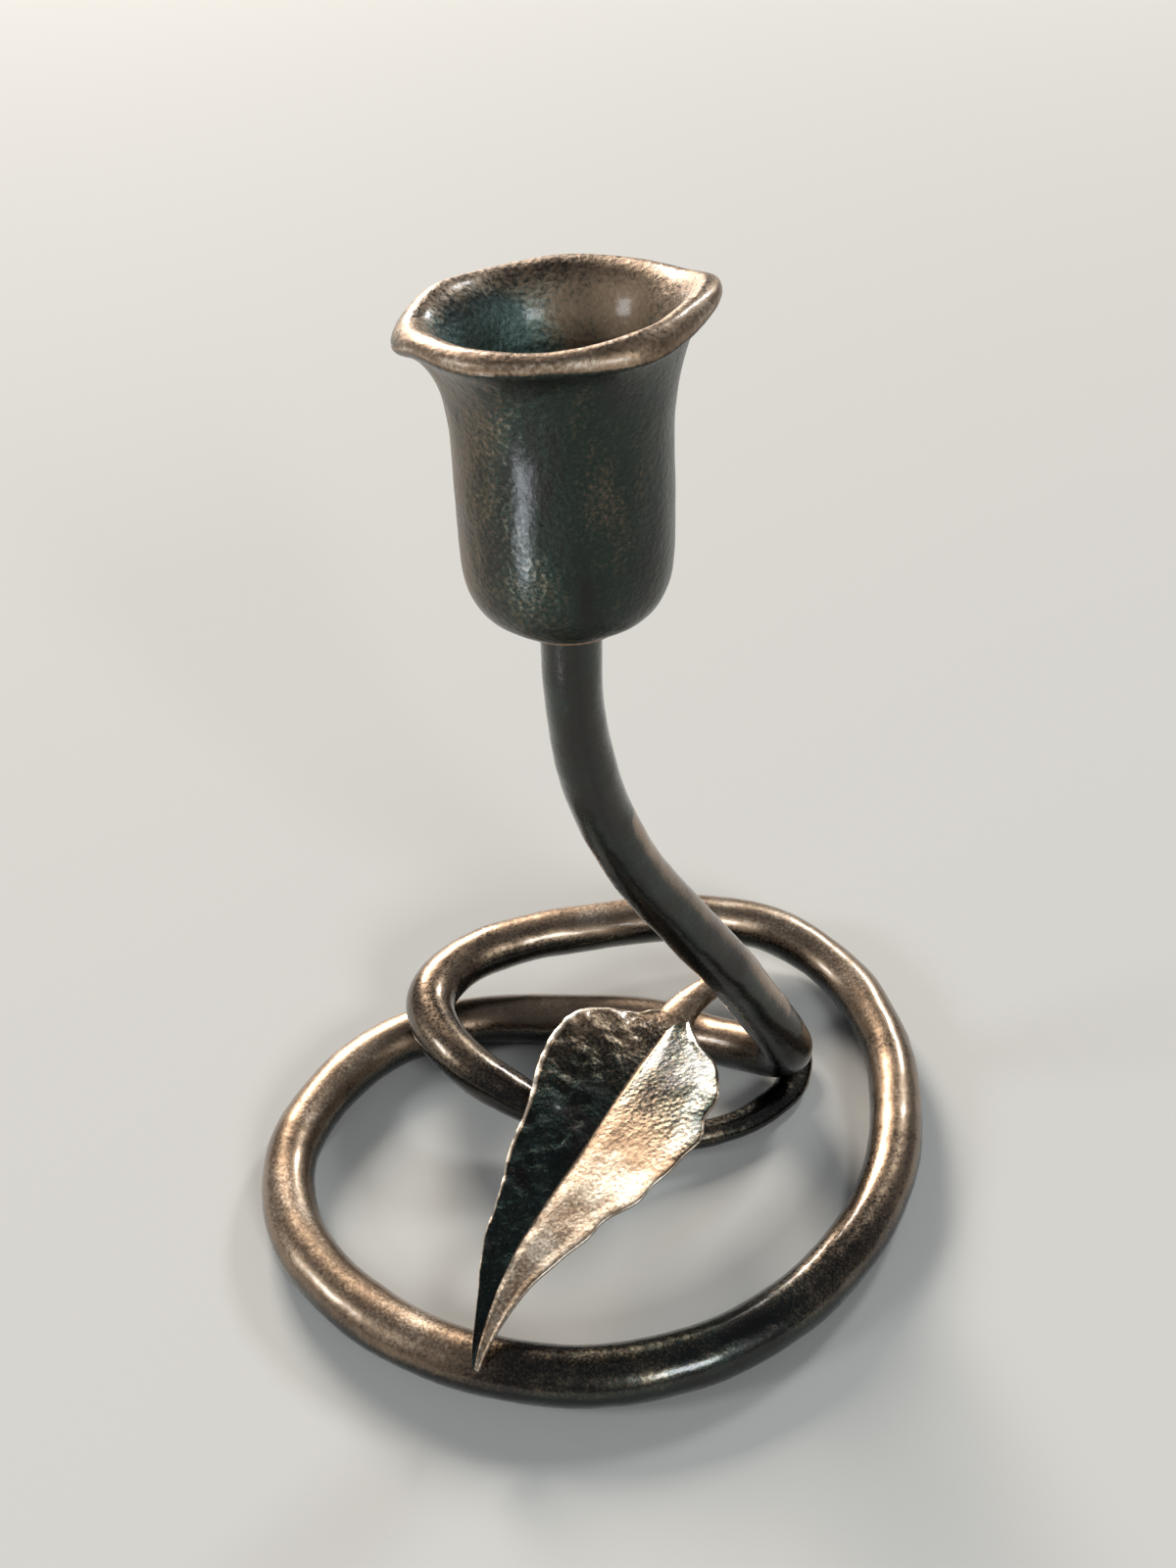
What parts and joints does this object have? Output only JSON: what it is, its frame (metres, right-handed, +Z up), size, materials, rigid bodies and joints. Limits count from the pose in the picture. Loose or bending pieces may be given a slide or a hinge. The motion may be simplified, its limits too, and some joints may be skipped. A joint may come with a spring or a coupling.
{
  "type": "candle holder",
  "caption": "Forged steel candle holder: a round bar coiled into a ring stand rises to a bell cup with a waved lip, with a leaf on its thin end.",
  "frame": {"origin": "on the table, under the middle of the bounding box", "axes": "+Z up along the candle, -Y towards the side that the leaf's tip points to, +X towards the foot of the stem"},
  "size_m": [0.1214, 0.1062, 0.1612],
  "materials": {
    "bar_steel": "forge oxide, wire brushed to a dull bronze",
    "cup_steel": "pitted forge oxide, lip burnished",
    "leaf_steel": "hammered forge oxide, brushed",
    "washer_steel": "worn bright edge"
  },
  "bodies": {
    "root": {"spiral_bar": "bar_steel", "candle_cup": "cup_steel", "leaf": "leaf_steel", "seat_washer": "washer_steel"}
  },
  "joints": []
}
